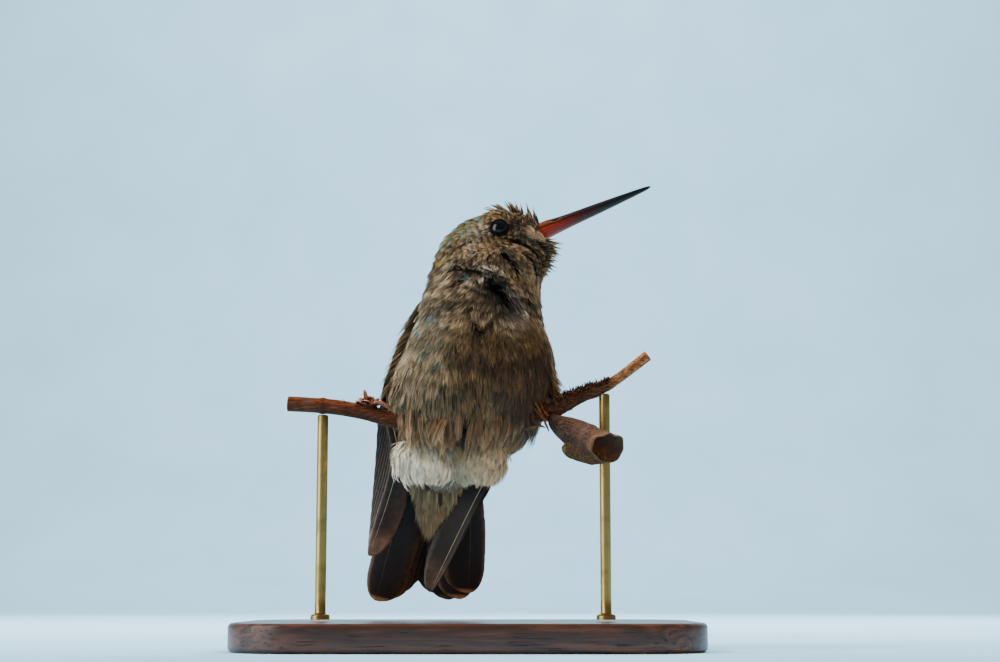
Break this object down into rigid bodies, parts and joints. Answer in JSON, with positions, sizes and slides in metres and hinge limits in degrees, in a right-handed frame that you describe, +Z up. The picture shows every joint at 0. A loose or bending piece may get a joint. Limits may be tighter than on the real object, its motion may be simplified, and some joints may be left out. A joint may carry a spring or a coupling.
{
  "type": "hummingbird",
  "caption": "Life-size female broad-billed hummingbird, fluffed up and perched on a short vine stem, head turned aside, on a wooden display base with brass rods.",
  "frame": {"origin": "middle of the underside of the stand's base", "axes": "+Z up, the bird's belly towards -Y, its right side towards -X"},
  "size_m": [0.076, 0.05, 0.0772],
  "materials": {
    "crown_feathers": "grey-brown crown feathers with buff edges and a few blue-green flecks",
    "body_feathers": "soft grey-taupe body feathers with pale hair-like barbs",
    "flight_feathers": "dusky brown-grey flight feathers with pale shafts",
    "tail_feathers": "near-black tail feathers with warm brown edges and pale tips",
    "covert_feathers": "grey-olive coverts with pale edges",
    "white_down": "loose white down",
    "bill_dark": "smooth dark horn with a satin gloss",
    "bill_red": "smooth orange-red horn that darkens towards the tip",
    "eye": "polished near-black eye",
    "foot_skin": "fine-scaled skin with dark horny claws",
    "vine_bark": "dry red-brown bark with long fibres",
    "dry_bud": "dry, ragged red-brown bud scales",
    "dead_leaf": "dry, curled leaf with a net of veins",
    "stand_wood": "dark walnut with a satin oil finish",
    "stand_brass": "brushed brass rod, slightly dulled"
  },
  "bodies": {
    "root": {"head": "crown_feathers", "neck": "body_feathers", "torso": "body_feathers", "eye_right": "eye", "eye_left": "eye", "bill_upper": "bill_dark", "bill_lower": "bill_red", "wing_right": "flight_feathers", "wing_left": "flight_feathers", "tail": "tail_feathers", "undertail_coverts": "covert_feathers", "thigh_tuft_right": "white_down", "thigh_tuft_left": "white_down", "leg_right": "foot_skin", "leg_left": "foot_skin", "perch": "vine_bark", "perch_bud": "dry_bud", "perch_leaf": "dead_leaf", "stand_base": "stand_wood", "stand_rod_left": "stand_brass", "stand_rod_right": "stand_brass"}
  },
  "joints": []
}
